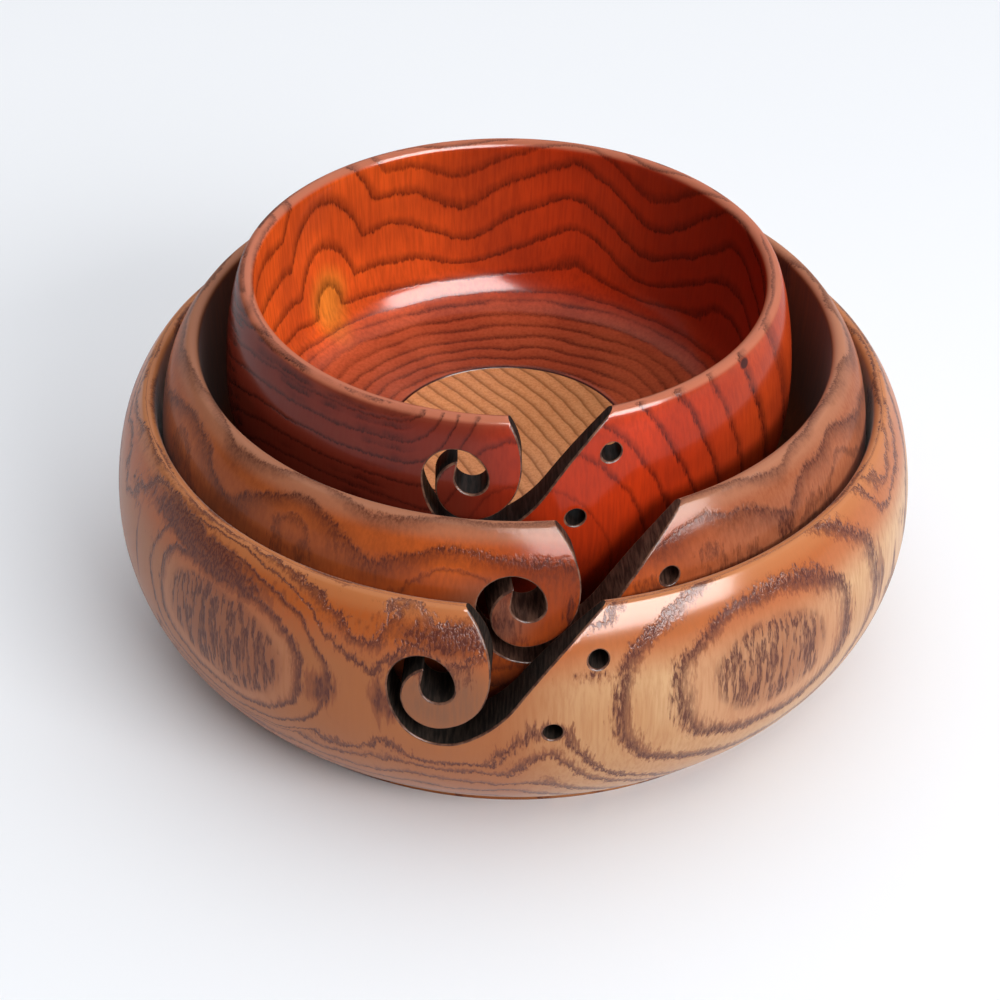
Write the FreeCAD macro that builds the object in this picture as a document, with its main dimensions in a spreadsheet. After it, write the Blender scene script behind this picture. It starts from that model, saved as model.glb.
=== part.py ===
import FreeCAD, Part
import math
import os

import Sketcher
from FreeCAD import Placement, Rotation, Vector

# A nesting set of three turned wooden yarn bowls. Each bowl is a turned shell with a scroll-shaped
# yarn slot and two needle holes in its front wall, and a stepped disc glued into its floor.
# Millimetres, +Z up, origin on the table under the centre of the large bowl, slots towards -Y.

BOWLS = ("large", "medium", "small")

# One row per dimension, with its value for the large, the medium and the small bowl.
# Offsets and heights are from the bowl's own axis and base.
BOWL_DIMENSIONS = {
    # outside of the shell
    "rim_height": (66.8, 62.8, 63.7),
    "belly_radius": (100.0, 87.8, 69.4),
    "belly_height": (37.8, 36.0, 35.5),
    "belly_arc": (66.5, 67.0, 100.0),
    "shoulder_arc": (36.0, 29.0, 45.0),
    "foot_radius": (81.8, 71.0, 56.5),
    "foot_band": (1.5, 1.5, 1.5),
    "ring_inner_radius": (70.0, 61.0, 47.0),
    "underside_recess": (1.5, 1.5, 1.5),
    # rounded lip
    "lip_radius": (90.9, 79.2, 63.5),
    "lip_round": (1.8, 1.8, 2.0),
    # inside of the shell
    "wall_arc": (300.0, 300.0, 300.0),
    "corner_arc": (19.0, 17.0, 13.0),
    "floor_arc": (380.0, 330.0, 250.0),
    "floor_height": (14.0, 14.0, 14.5),
    # stepped disc in the floor
    "disc_radius": (43.0, 37.0, 30.0),
    "flange_radius": (49.0, 43.0, 36.0),
    "flange_height": (6.5, 6.5, 6.5),
    # yarn slot and needle holes
    "eye_offset": (-11.6, -8.8, -9.4),
    "eye_height": (48.6, 45.3, 49.5),
    "scroll_scale": (1.0, 1.0, 0.95),
    "needle_hole": (4.5, 4.5, 4.5),
    "upper_hole_offset": (23.9, 23.5, 21.8),
    "upper_hole_height": (55.8, 48.4, 54.4),
    "lower_hole_offset": (14.4, 14.7, 14.0),
    "lower_hole_height": (37.6, 31.6, 39.1),
    # how the bowl sits in the set
    "turn": (-3.0, 8.0, 1.0),
    "rest_x": (0.0, 0.0, -1.5),
    "rest_y": (0.0, -0.6, -2.1),
    "rest_height": (0.0, 18.9, 36.5),
}

# The scroll, which is the same on every bowl apart from its scale. Its two edges are chains of
# tangent arcs, from the eye outwards, each with a radius and the angle that it turns through.
# A negative turn is clockwise.
OUTER_EDGE = {
    "outer_one": (7.2, 90.0),
    "outer_two": (8.2, 90.0),
    "outer_three": (18.0, 37.0),
    "outer_four": (10.5, 83.0),
    "outer_five": (36.0, 27.0),
    "outer_six": (100.0, -20.0),
}
HOOK_EDGE = {
    "hook_one": (8.0, 174.7),
    "hook_two": (13.5, 60.7),
    "hook_three": (20.2, 75.0),
}
EYE_RADIUS = 3.9
HOOK_TIP = (-3.2, 4.3)
HOOK_TIP_HEADING = 199.6

SCROLL_ARCS = list(OUTER_EDGE.items()) + list(HOOK_EDGE.items())

# Room left all round the glued-in disc
GLUE_GAP = 0.1

FULL_TURN = 360.0


def make_sheet(doc):
    """Spreadsheet of plain numbers, one alias each, that every sketch takes its sizes from."""
    sheet = doc.addObject("Spreadsheet::Sheet", "Dimensions")
    rows = []
    for name, values in BOWL_DIMENSIONS.items():
        rows += [(f"{bowl}_{name}", value) for bowl, value in zip(BOWLS, values)]
    rows += [(f"{arc}_radius", radius) for arc, (radius, _) in SCROLL_ARCS]
    rows += [(f"{arc}_turn", abs(turn)) for arc, (_, turn) in SCROLL_ARCS]
    rows += [("eye_radius", EYE_RADIUS), ("hook_tip_x", HOOK_TIP[0]), ("hook_tip_y", HOOK_TIP[1])]
    rows += [("hook_tip_heading", HOOK_TIP_HEADING), ("glue_gap", GLUE_GAP)]
    for row, (alias, value) in enumerate(rows, start=1):
        sheet.set(f"A{row}", alias)
        sheet.set(f"B{row}", str(value))
        sheet.setAlias(f"B{row}", alias)
    doc.recompute()
    return sheet


def on_circle(centre, radius, degrees):
    """Point at an angle on a circle."""
    angle = math.radians(degrees)
    return (centre[0] + radius * math.cos(angle), centre[1] + radius * math.sin(angle))


def towards(centre, point, distance):
    """Point at a distance from centre, on the line from centre through another point."""
    reach = math.dist(centre, point)
    return tuple(c + (p - c) * distance / reach for c, p in zip(centre, point))


def circles_meet(first, first_radius, second, second_radius):
    """Where two circles cross, on the right of the line from the first centre to the second."""
    gap = math.dist(first, second)
    along = (gap ** 2 + first_radius ** 2 - second_radius ** 2) / (2 * gap)
    across = math.sqrt(first_radius ** 2 - along ** 2)
    step_x = (second[0] - first[0]) / gap
    step_y = (second[1] - first[1]) / gap
    return (first[0] + along * step_x + across * step_y, first[1] + along * step_y - across * step_x)


def arc_chain(start, heading, scale, arcs):
    """Tangent arcs from a start point and heading: (centre, radius, start, end, clockwise) each."""
    chain = []
    for full_radius, turn in arcs:
        radius = full_radius * scale
        side = math.copysign(90.0, turn)
        centre = on_circle(start, radius, heading + side)
        end = on_circle(centre, radius, heading - side + turn)
        chain.append((centre, radius, start, end, turn < 0))
        start = end
        heading += turn
    return chain


# Sketcher's numbers for the points of an edge
START, END, CENTRE = 1, 2, 3


class Outline:
    """Closed outline in a body's XZ plane: lines and arcs, each from where the last one ended."""

    def __init__(self, body, name):
        plane = [feature for feature in body.Origin.OriginFeatures if feature.Role == "XZ_Plane"][0]
        self.sketch = body.newObject("Sketcher::SketchObject", name)
        self.sketch.AttachmentSupport = [(plane, "")]
        self.sketch.MapMode = "FlatFace"
        self.edges = []

    def line(self, start, end):
        edge = self.sketch.addGeometry(Part.LineSegment(Vector(*start, 0), Vector(*end, 0)), False)
        self.edges.append((edge, START, END))
        if start[0] == end[0]:
            self.sketch.addConstraint(Sketcher.Constraint("Vertical", edge))
        if start[1] == end[1]:
            self.sketch.addConstraint(Sketcher.Constraint("Horizontal", edge))
        return edge

    def arc(self, centre, radius, start, end, clockwise=False):
        begin, finish = (end, start) if clockwise else (start, end)
        angles = [math.degrees(math.atan2(p[1] - centre[1], p[0] - centre[0])) for p in (begin, finish)]
        span = (angles[1] - angles[0]) % FULL_TURN
        circle = Part.Circle(Vector(*centre, 0), Vector(0, 0, 1), radius)
        first = math.radians(angles[0])
        edge = self.sketch.addGeometry(Part.ArcOfCircle(circle, first, first + math.radians(span)), False)
        self.edges.append((edge, END, START) if clockwise else (edge, START, END))
        return edge

    def close(self, smooth):
        """Join every edge to the next one, tangent after the edges in smooth."""
        followers = self.edges[1:] + self.edges[:1]
        for (edge, _, end), (following, start, _) in zip(self.edges, followers):
            kind = "Tangent" if edge in smooth else "Coincident"
            self.sketch.addConstraint(Sketcher.Constraint(kind, edge, end, following, start))

    def bind(self, expression, kind, *where):
        """Add a dimension and take its value from the sheet."""
        constraint = self.sketch.addConstraint(Sketcher.Constraint(kind, *where))
        self.sketch.setExpression(f"Constraints[{constraint}]", expression)

    def bind_radius(self, edge, radius, expression):
        self.bind(expression, "Radius", edge, radius)

    def bind_x(self, edge, point, value, expression):
        self.bind(expression, "DistanceX", -1, 1, edge, point, value)

    def bind_y(self, edge, point, value, expression):
        self.bind(expression, "DistanceY", -1, 1, edge, point, value)


class Bowl:
    """One bowl of the set, with its dimensions read from the sheet by name."""

    def __init__(self, doc, sheet, name):
        self.doc = doc
        self.sheet = sheet
        self.name = name

    def size(self, dimension):
        return self.sheet.get(f"{self.name}_{dimension}")

    def cell(self, dimension):
        return f"Dimensions.{self.name}_{dimension}"

    def new_body(self, piece):
        return self.doc.addObject("PartDesign::Body", f"{self.name}_{piece}")

    def set_down(self, body):
        """Put a finished body where the bowl rests in the set, turned about its axis."""
        base = Vector(self.size("rest_x"), self.size("rest_y"), self.size("rest_height"))
        body.Placement = Placement(base, Rotation(Vector(0, 0, 1), self.size("turn")))
        for axis, dimension in zip("xyz", ("rest_x", "rest_y", "rest_height")):
            body.setExpression(f"Placement.Base.{axis}", self.cell(dimension))

    def revolve(self, body, outline):
        feature = body.newObject("PartDesign::Revolution", f"{body.Name}_turning")
        feature.Profile = outline.sketch
        feature.ReferenceAxis = (outline.sketch, ["V_Axis"])
        feature.Angle = FULL_TURN
        outline.sketch.Visibility = False

    def cut_front(self, body, outline, name):
        """Cut an outline straight through the front wall, from the bowl's axis towards -Y."""
        before = body.Shape.Volume
        pocket = body.newObject("PartDesign::Pocket", f"{body.Name}_{name}")
        pocket.Profile = outline.sketch
        pocket.Type = "Length"
        pocket.setExpression("Length", f"{self.cell('belly_radius')} + {self.cell('lip_round')}")
        pocket.Reversed = True
        self.doc.recompute()
        if body.Shape.Volume >= before:
            raise RuntimeError(f"{pocket.Name} cut nothing")

    def add_shell_outline(self, body):
        """Half section of the turned shell, from the hole for the disc round the outside to the floor."""
        rim = self.size("lip_round")
        lip = (self.size("lip_radius"), self.size("rim_height") - rim)
        lip_inside = (lip[0] - rim, lip[1])
        belly = (self.size("belly_radius"), self.size("belly_height"))
        foot = (self.size("foot_radius"), self.size("foot_band"))
        reach = belly[0] - foot[0]
        rise = belly[1] - foot[1]
        lower_arc = (reach ** 2 + rise ** 2) / (2 * reach)
        belly_arc = self.size("belly_arc")
        shoulder_arc = self.size("shoulder_arc")
        wall_arc = self.size("wall_arc")
        corner_arc = self.size("corner_arc")
        floor_arc = self.size("floor_arc")
        disc_edge = (self.size("disc_radius"), self.size("floor_height"))
        flange = (self.size("flange_radius"), self.size("flange_height"))
        ring_inside = (self.size("ring_inner_radius"), self.size("underside_recess"))

        lower = (belly[0] - lower_arc, belly[1])
        middle = (belly[0] - belly_arc, belly[1])
        shoulder = circles_meet(middle, belly_arc - shoulder_arc, lip, shoulder_arc - rim)
        wall = (lip_inside[0] - wall_arc, lip[1])
        floor = (0.0, disc_edge[1] + math.sqrt(floor_arc ** 2 - disc_edge[0] ** 2))
        corner = circles_meet(wall, wall_arc - corner_arc, floor, floor_arc - corner_arc)
        belly_end = towards(middle, shoulder, belly_arc)
        shoulder_end = towards(shoulder, lip, shoulder_arc)
        wall_end = towards(wall, corner, wall_arc)
        corner_end = towards(floor, corner, floor_arc)

        outline = Outline(body, f"{body.Name}_section")
        hole = outline.line(disc_edge, (disc_edge[0], flange[1]))
        seat = outline.line((disc_edge[0], flange[1]), flange)
        rebate = outline.line(flange, (flange[0], ring_inside[1]))
        outline.line((flange[0], ring_inside[1]), ring_inside)
        ring = outline.line(ring_inside, (ring_inside[0], 0.0))
        base = outline.line((ring_inside[0], 0.0), (foot[0], 0.0))
        outline.line((foot[0], 0.0), foot)
        lower_edge = outline.arc(lower, lower_arc, foot, belly)
        belly_edge = outline.arc(middle, belly_arc, belly, belly_end)
        shoulder_edge = outline.arc(shoulder, shoulder_arc, belly_end, shoulder_end)
        lip_edge = outline.arc(lip, rim, shoulder_end, lip_inside)
        wall_edge = outline.arc(wall, wall_arc, lip_inside, wall_end, clockwise=True)
        corner_edge = outline.arc(corner, corner_arc, wall_end, corner_end, clockwise=True)
        floor_edge = outline.arc(floor, floor_arc, corner_end, disc_edge, clockwise=True)
        outline.close(smooth=(lower_edge, belly_edge, shoulder_edge, lip_edge, wall_edge, corner_edge))

        lip_level = f"{self.cell('rim_height')} - {self.cell('lip_round')}"
        outline.bind_x(hole, START, disc_edge[0], self.cell("disc_radius"))
        outline.bind_y(hole, START, disc_edge[1], self.cell("floor_height"))
        outline.bind_y(seat, START, flange[1], self.cell("flange_height"))
        outline.bind_x(rebate, START, flange[0], self.cell("flange_radius"))
        outline.bind_y(rebate, END, ring_inside[1], self.cell("underside_recess"))
        outline.bind_x(ring, START, ring_inside[0], self.cell("ring_inner_radius"))
        outline.sketch.addConstraint(Sketcher.Constraint("PointOnObject", base, START, -1))
        outline.bind_x(base, END, foot[0], self.cell("foot_radius"))
        outline.bind_y(lower_edge, START, foot[1], self.cell("foot_band"))
        outline.bind_x(belly_edge, START, belly[0], self.cell("belly_radius"))
        outline.bind_y(belly_edge, START, belly[1], self.cell("belly_height"))
        outline.bind_y(belly_edge, CENTRE, belly[1], self.cell("belly_height"))
        outline.bind_radius(belly_edge, belly_arc, self.cell("belly_arc"))
        outline.bind_radius(shoulder_edge, shoulder_arc, self.cell("shoulder_arc"))
        outline.bind_radius(lip_edge, rim, self.cell("lip_round"))
        outline.bind_x(lip_edge, CENTRE, lip[0], self.cell("lip_radius"))
        outline.bind_y(lip_edge, CENTRE, lip[1], lip_level)
        outline.bind_y(wall_edge, CENTRE, lip[1], lip_level)
        outline.bind_radius(wall_edge, wall_arc, self.cell("wall_arc"))
        outline.bind_radius(corner_edge, corner_arc, self.cell("corner_arc"))
        outline.bind_radius(floor_edge, floor_arc, self.cell("floor_arc"))
        outline.sketch.addConstraint(Sketcher.Constraint("PointOnObject", floor_edge, CENTRE, -2))
        return outline

    def add_slot_outline(self, body):
        """Yarn slot: from the eye up its outer edge to above the rim, then back along the hook."""
        scale = self.size("scroll_scale")
        eye = (self.size("eye_offset"), self.size("eye_height"))
        eye_radius = EYE_RADIUS * scale
        eye_right = (eye[0] + eye_radius, eye[1])
        eye_left = (eye[0] - eye_radius, eye[1])
        tip = (eye[0] + HOOK_TIP[0] * scale, eye[1] + HOOK_TIP[1] * scale)
        outer_chain = arc_chain(eye_right, 90.0, scale, OUTER_EDGE.values())
        hook_chain = arc_chain(tip, HOOK_TIP_HEADING, scale, HOOK_EDGE.values())

        outline = Outline(body, f"{body.Name}_slot")
        edges = {name: outline.arc(*arc) for name, arc in zip(OUTER_EDGE, outer_chain)}
        outline.line(outer_chain[-1][3], hook_chain[-1][3])
        for name, (centre, radius, start, end, _) in reversed(list(zip(HOOK_EDGE, hook_chain))):
            edges[name] = outline.arc(centre, radius, end, start, clockwise=True)
        outline.line(tip, eye_left)
        eye_edge = outline.arc(eye, eye_radius, eye_left, eye_right)
        corners = (edges["outer_six"], edges["hook_one"])
        outline.close(smooth=[edge for edge in (*edges.values(), eye_edge) if edge not in corners])

        scale_cell = self.cell("scroll_scale")
        outline.bind_x(eye_edge, CENTRE, eye[0], self.cell("eye_offset"))
        outline.bind_y(eye_edge, CENTRE, eye[1], self.cell("eye_height"))
        outline.bind_radius(eye_edge, eye_radius, f"Dimensions.eye_radius * {scale_cell}")
        for end in (START, END):
            outline.sketch.addConstraint(Sketcher.Constraint("Horizontal", eye_edge, CENTRE, eye_edge, end))
        for name, (radius, turn) in SCROLL_ARCS:
            outline.bind_radius(edges[name], radius * scale, f"Dimensions.{name}_radius * {scale_cell}")
            outline.bind(f"Dimensions.{name}_turn * 1 deg", "Angle", edges[name], math.radians(abs(turn)))
        tip_x = f"{self.cell('eye_offset')} + Dimensions.hook_tip_x * {scale_cell}"
        tip_y = f"{self.cell('eye_height')} + Dimensions.hook_tip_y * {scale_cell}"
        outline.bind_x(edges["hook_one"], START, tip[0], tip_x)
        outline.bind_y(edges["hook_one"], START, tip[1], tip_y)
        centre_angle = "Dimensions.hook_tip_heading * 1 deg + 90 deg"
        centre_x = f"{tip_x} + Dimensions.hook_one_radius * {scale_cell} * cos({centre_angle})"
        outline.bind_x(edges["hook_one"], CENTRE, hook_chain[0][0][0], centre_x)
        return outline

    def add_hole_outline(self, body):
        """The two needle holes beside the slot."""
        outline = Outline(body, f"{body.Name}_holes")
        radius = self.size("needle_hole") / 2
        for hole in ("upper_hole", "lower_hole"):
            centre = (self.size(f"{hole}_offset"), self.size(f"{hole}_height"))
            circle = Part.Circle(Vector(*centre, 0), Vector(0, 0, 1), radius)
            edge = outline.sketch.addGeometry(circle, False)
            outline.bind_radius(edge, radius, f"{self.cell('needle_hole')} / 2")
            outline.bind_x(edge, CENTRE, centre[0], self.cell(f"{hole}_offset"))
            outline.bind_y(edge, CENTRE, centre[1], self.cell(f"{hole}_height"))
        return outline

    def make_shell(self):
        body = self.new_body("shell")
        self.revolve(body, self.add_shell_outline(body))
        self.doc.recompute()
        self.cut_front(body, self.add_slot_outline(body), "slot_cut")
        self.cut_front(body, self.add_hole_outline(body), "holes_cut")
        self.set_down(body)
        return body

    def make_base_disc(self):
        """Disc with a flange, glued in from below, its underside level with the recess under the bowl."""
        body = self.new_body("base_disc")
        low = self.size("underside_recess")
        flange = (self.size("flange_radius") - GLUE_GAP, self.size("flange_height") - GLUE_GAP)
        top = (self.size("disc_radius") - GLUE_GAP, self.size("floor_height"))
        outline = Outline(body, f"{body.Name}_section")
        under = outline.line((0.0, low), (flange[0], low))
        rim = outline.line((flange[0], low), flange)
        outline.line(flange, (top[0], flange[1]))
        side = outline.line((top[0], flange[1]), top)
        outline.line(top, (0.0, top[1]))
        axis = outline.line((0.0, top[1]), (0.0, low))
        outline.close(smooth=())
        outline.sketch.addConstraint(Sketcher.Constraint("PointOnObject", axis, START, -2))
        outline.bind_y(under, START, low, self.cell("underside_recess"))
        outline.bind_x(rim, START, flange[0], f"{self.cell('flange_radius')} - Dimensions.glue_gap")
        outline.bind_y(rim, END, flange[1], f"{self.cell('flange_height')} - Dimensions.glue_gap")
        outline.bind_x(side, START, top[0], f"{self.cell('disc_radius')} - Dimensions.glue_gap")
        outline.bind_y(side, END, top[1], self.cell("floor_height"))
        self.revolve(body, outline)
        self.set_down(body)
        return body


def check(doc, bodies):
    """Stop if any object failed to compute or any piece is not one sound solid."""
    for item in doc.Objects:
        if "Invalid" in item.State or "Error" in item.State:
            raise RuntimeError(f"{item.Name} failed: {item.State}")
    for body in bodies:
        shape = body.Shape
        if shape.isNull() or not shape.isValid() or len(shape.Solids) != 1:
            raise RuntimeError(f"{body.Label} is not one sound solid")


def main():
    doc = FreeCAD.newDocument("yarn_bowl_set")
    sheet = make_sheet(doc)
    bodies = []
    for name in BOWLS:
        bowl = Bowl(doc, sheet, name)
        bodies += [bowl.make_shell(), bowl.make_base_disc()]
    doc.recompute()
    check(doc, bodies)
    os.makedirs("parts", exist_ok=True)
    for body in bodies:
        body.Shape.exportStep(f"parts/{body.Label}.step")
        print(f"{body.Label}: {body.Shape.Volume / 1000:.1f} cm3")


main()
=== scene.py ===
"""Looks of the nesting set of three turned wooden yarn bowls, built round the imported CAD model."""
import math

import bmesh
import bpy
from mathutils import Matrix, Vector

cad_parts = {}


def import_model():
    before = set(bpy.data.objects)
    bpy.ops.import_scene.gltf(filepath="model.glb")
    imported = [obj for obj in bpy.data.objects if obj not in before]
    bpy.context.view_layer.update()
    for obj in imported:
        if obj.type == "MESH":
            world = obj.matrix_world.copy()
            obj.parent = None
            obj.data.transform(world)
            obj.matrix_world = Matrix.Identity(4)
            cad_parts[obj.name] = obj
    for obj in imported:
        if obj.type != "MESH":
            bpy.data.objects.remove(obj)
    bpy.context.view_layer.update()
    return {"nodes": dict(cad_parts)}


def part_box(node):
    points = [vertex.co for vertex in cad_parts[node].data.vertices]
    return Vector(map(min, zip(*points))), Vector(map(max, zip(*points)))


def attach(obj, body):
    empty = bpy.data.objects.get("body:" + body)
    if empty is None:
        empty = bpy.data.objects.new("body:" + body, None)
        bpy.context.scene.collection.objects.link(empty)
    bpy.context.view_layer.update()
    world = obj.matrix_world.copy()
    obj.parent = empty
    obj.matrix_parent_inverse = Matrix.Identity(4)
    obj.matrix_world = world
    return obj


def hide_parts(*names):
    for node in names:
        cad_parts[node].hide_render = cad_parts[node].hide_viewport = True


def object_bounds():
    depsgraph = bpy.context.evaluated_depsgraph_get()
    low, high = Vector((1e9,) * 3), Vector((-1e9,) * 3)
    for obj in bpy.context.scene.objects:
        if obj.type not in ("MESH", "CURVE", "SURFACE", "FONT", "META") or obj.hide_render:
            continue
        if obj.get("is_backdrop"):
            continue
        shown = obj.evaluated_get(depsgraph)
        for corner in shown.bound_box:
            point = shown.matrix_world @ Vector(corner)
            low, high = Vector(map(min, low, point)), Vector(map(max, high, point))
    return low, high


MM = 0.001
BOWLS = ("large", "medium", "small")

# Turned section, yarn slot and needle holes of each bowl, in millimetres from its own axis and base.
# Rim height, belly radius and place in the set come from the frame.
DIMENSIONS = {
    "belly_height": (37.8, 36.0, 35.5),
    "belly_arc": (66.5, 67.0, 100.0),
    "shoulder_arc": (36.0, 29.0, 45.0),
    "foot_radius": (81.8, 71.0, 56.5),
    "foot_band": (1.5, 1.5, 1.5),
    "ring_inner_radius": (70.0, 61.0, 47.0),
    "underside_recess": (1.5, 1.5, 1.5),
    "lip_radius": (90.9, 79.2, 63.5),
    "lip_round": (1.8, 1.8, 2.0),
    "wall_arc": (300.0, 300.0, 300.0),
    "corner_arc": (19.0, 17.0, 13.0),
    "floor_arc": (380.0, 330.0, 250.0),
    "floor_height": (14.0, 14.0, 14.5),
    "disc_radius": (43.0, 37.0, 30.0),
    "flange_radius": (49.0, 43.0, 36.0),
    "flange_height": (6.5, 6.5, 6.5),
    "eye_offset": (-11.6, -8.8, -9.4),
    "eye_height": (48.6, 45.3, 49.5),
    "scroll_scale": (1.0, 1.0, 0.95),
    "needle_hole": (4.5, 4.5, 4.5),
    "upper_hole_offset": (23.9, 23.5, 21.8),
    "upper_hole_height": (55.8, 48.4, 54.4),
    "lower_hole_offset": (14.4, 14.7, 14.0),
    "lower_hole_height": (37.6, 31.6, 39.1),
    "turn": (-3.0, 8.0, 1.0),
}

# The scroll's two edges: chains of tangent arcs from the eye outwards, each a radius and a turn in degrees.
OUTER_EDGE = ((7.2, 90.0), (8.2, 90.0), (18.0, 37.0), (10.5, 83.0), (36.0, 27.0), (100.0, -20.0))
HOOK_EDGE = ((8.0, 174.7), (13.5, 60.7), (20.2, 75.0))
EYE_RADIUS = 3.9
HOOK_TIP = (-3.2, 4.3)
HOOK_TIP_HEADING = 199.6

# Rounding of a cut edge, and of the foot's two edges, in millimetres.
EDGE_ROUND = 0.45
FOOT_ROUND = 0.4
# A cutter's eased edge: its steps round the edge in degrees, and how far it runs on past the wall.
CUT_EASE_STEPS = (75.0, 58.0, 40.0, 20.0, 0.0)
CUT_FLARE = 0.16
# Where a cutter ends: clear of the belly outside, and inside at a share of the belly radius.
CUTTER_CLEARANCE = 8.0
CUTTER_INNER_END = 0.4
# Divisions round a turned shell and round a needle hole.
SPOKES = 360
HOLE_SIDES = 48


# ---------------------------------------------------------------- plane geometry

def on_circle(centre, radius, degrees):
    angle = math.radians(degrees)
    return (centre[0] + radius * math.cos(angle), centre[1] + radius * math.sin(angle))


def towards(centre, point, distance):
    reach = math.dist(centre, point)
    return tuple(c + (p - c) * distance / reach for c, p in zip(centre, point))


def circles_meet(first, first_radius, second, second_radius):
    """Where two circles cross, on the right of the line from the first centre to the second."""
    gap = math.dist(first, second)
    along = (gap ** 2 + first_radius ** 2 - second_radius ** 2) / (2 * gap)
    across = math.sqrt(first_radius ** 2 - along ** 2)
    step_x = (second[0] - first[0]) / gap
    step_y = (second[1] - first[1]) / gap
    return (first[0] + along * step_x + across * step_y, first[1] + along * step_y - across * step_x)


def arc_points(centre, start, end, step, clockwise=False):
    """Points along an arc after its start and up to its end, about step apart."""
    radius = math.dist(centre, start)
    first = math.atan2(start[1] - centre[1], start[0] - centre[0])
    span = (math.atan2(end[1] - centre[1], end[0] - centre[0]) - first) % math.tau
    if clockwise:
        span -= math.tau
    count = max(1, math.ceil(abs(span) * radius / step))
    angles = (first + span * k / count for k in range(1, count + 1))
    return [(centre[0] + radius * math.cos(a), centre[1] + radius * math.sin(a)) for a in angles]


def line_points(start, end, step):
    count = max(1, math.ceil(math.dist(start, end) / step))
    return [tuple(a + (b - a) * k / count for a, b in zip(start, end)) for k in range(1, count + 1)]


# ---------------------------------------------------------------- shapes of a bowl

class Section:
    """Half section of one turned shell, (radius, height) in millimetres."""

    def __init__(self, name):
        column = BOWLS.index(name)
        self.size = {key: values[column] for key, values in DIMENSIONS.items()}
        low, high = (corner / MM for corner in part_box(f"{name}_shell"))
        size = self.size
        size["rim_height"] = high.z - low.z
        size["belly_radius"] = (high.x - low.x) / 2
        self.rest = Vector(((low.x + high.x) / 2, high.y - size["belly_radius"], low.z))
        self.place = Matrix.Translation(self.rest) @ Matrix.Rotation(math.radians(size["turn"]), 4, "Z")

        rim = size["lip_round"]
        self.lip = (size["lip_radius"], size["rim_height"] - rim)
        self.belly = (size["belly_radius"], size["belly_height"])
        self.foot = (size["foot_radius"], size["foot_band"])
        reach = self.belly[0] - self.foot[0]
        rise = self.belly[1] - self.foot[1]
        self.lower_arc = (reach ** 2 + rise ** 2) / (2 * reach)
        self.lower = (self.belly[0] - self.lower_arc, self.belly[1])
        self.middle = (self.belly[0] - size["belly_arc"], self.belly[1])
        self.shoulder = circles_meet(
            self.middle, size["belly_arc"] - size["shoulder_arc"],
            self.lip, size["shoulder_arc"] - rim)
        self.wall = (self.lip[0] - rim - size["wall_arc"], self.lip[1])
        self.disc_edge = (size["disc_radius"], size["floor_height"])
        self.floor = (0.0, self.disc_edge[1] + math.sqrt(size["floor_arc"] ** 2 - self.disc_edge[0] ** 2))
        self.corner = circles_meet(
            self.wall, size["wall_arc"] - size["corner_arc"],
            self.floor, size["floor_arc"] - size["corner_arc"])
        self.belly_end = towards(self.middle, self.shoulder, size["belly_arc"])
        self.shoulder_end = towards(self.shoulder, self.lip, size["shoulder_arc"])
        self.wall_end = towards(self.wall, self.corner, size["wall_arc"])
        self.corner_end = towards(self.floor, self.corner, size["floor_arc"])

    def outline(self):
        """Closed loop round the section, fine where the curve is tight."""
        size = self.size
        flange = (size["flange_radius"], size["flange_height"])
        recess = size["underside_recess"]
        foot = size["foot_radius"]
        ring = size["ring_inner_radius"]
        rim_inside = (self.lip[0] - size["lip_round"], self.lip[1])
        ease = FOOT_ROUND
        points = line_points(self.disc_edge, (self.disc_edge[0], flange[1]), 4.0)
        points += line_points((self.disc_edge[0], flange[1]), flange, 4.0)
        points += line_points(flange, (flange[0], recess), 4.0)
        points += line_points((flange[0], recess), (ring, recess), 4.0)
        points += [(ring, ease), (ring + ease, 0.0)]
        points += line_points((ring + ease, 0.0), (foot - ease, 0.0), 3.0)
        points += arc_points((foot - ease, ease), (foot - ease, 0.0), (foot, ease), 0.2)
        points += line_points((foot, ease), self.foot, 0.6)
        points += arc_points(self.lower, self.foot, self.belly, 1.2)
        points += arc_points(self.middle, self.belly, self.belly_end, 1.2)
        points += arc_points(self.shoulder, self.belly_end, self.shoulder_end, 1.0)
        points += arc_points(self.lip, self.shoulder_end, rim_inside, 0.4)
        points += arc_points(self.wall, rim_inside, self.wall_end, 1.4, True)
        points += arc_points(self.corner, self.wall_end, self.corner_end, 1.0, True)
        points += arc_points(self.floor, self.corner_end, self.disc_edge, 1.6, True)
        return points

    def outside(self, height):
        """Outer radius at a height, held at the lip's above it."""
        if height > self.shoulder_end[1]:
            return self.shoulder_end[0]
        if height > self.belly_end[1]:
            centre, radius = self.shoulder, self.size["shoulder_arc"]
        elif height > self.belly[1]:
            centre, radius = self.middle, self.size["belly_arc"]
        else:
            centre, radius = self.lower, self.lower_arc
        return centre[0] + math.sqrt(radius ** 2 - (height - centre[1]) ** 2)

    def inside(self, height):
        """Inner radius of the wall at a height, held at the lip's above it."""
        height = min(height, self.lip[1])
        if height > self.wall_end[1]:
            centre, radius = self.wall, self.size["wall_arc"]
        else:
            centre, radius = self.corner, self.size["corner_arc"]
        return centre[0] + math.sqrt(radius ** 2 - (height - centre[1]) ** 2)


def arc_chain(start, heading, scale, arcs):
    """Points along a chain of tangent arcs, without its start."""
    points = []
    for full_radius, turn in arcs:
        radius = full_radius * scale
        side = math.copysign(90.0, turn)
        centre = on_circle(start, radius, heading + side)
        end = on_circle(centre, radius, heading - side + turn)
        points += arc_points(centre, start, end, 0.6, turn < 0)
        start = end
        heading += turn
    return points


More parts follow.
